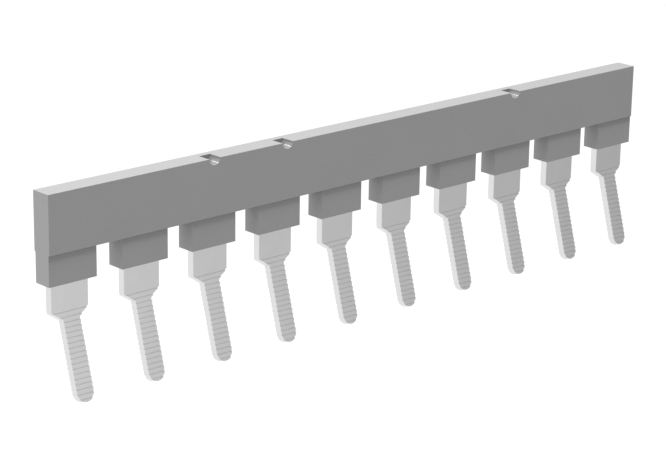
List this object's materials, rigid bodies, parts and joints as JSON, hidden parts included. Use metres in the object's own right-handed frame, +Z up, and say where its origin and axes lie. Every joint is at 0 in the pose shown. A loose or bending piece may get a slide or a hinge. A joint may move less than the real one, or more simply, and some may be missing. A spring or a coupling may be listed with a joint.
{
  "type": "terminal jumper",
  "caption": "Comb-shaped terminal jumper: stepped metal contact fingers on a spine moulded into a grey insulating bar, plugged into a row of terminal blocks to link them electrically.",
  "frame": {"origin": "middle of the bar's underside, which seats on the row of terminals", "axes": "+X along the row of contacts, +Z up from the fingers to the bar's top face, -Y to the front, which the fingers lean towards"},
  "size_m": [0.0598, 0.003, 0.0149],
  "materials": {
    "housing_plastic": "mid grey moulded polyamide with a fine satin grain",
    "comb_metal": "copper alloy sheet, stamped and plated with matt tin"
  },
  "bodies": {
    "root": {"insulating_housing": "housing_plastic", "contact_comb": "comb_metal"}
  },
  "joints": []
}
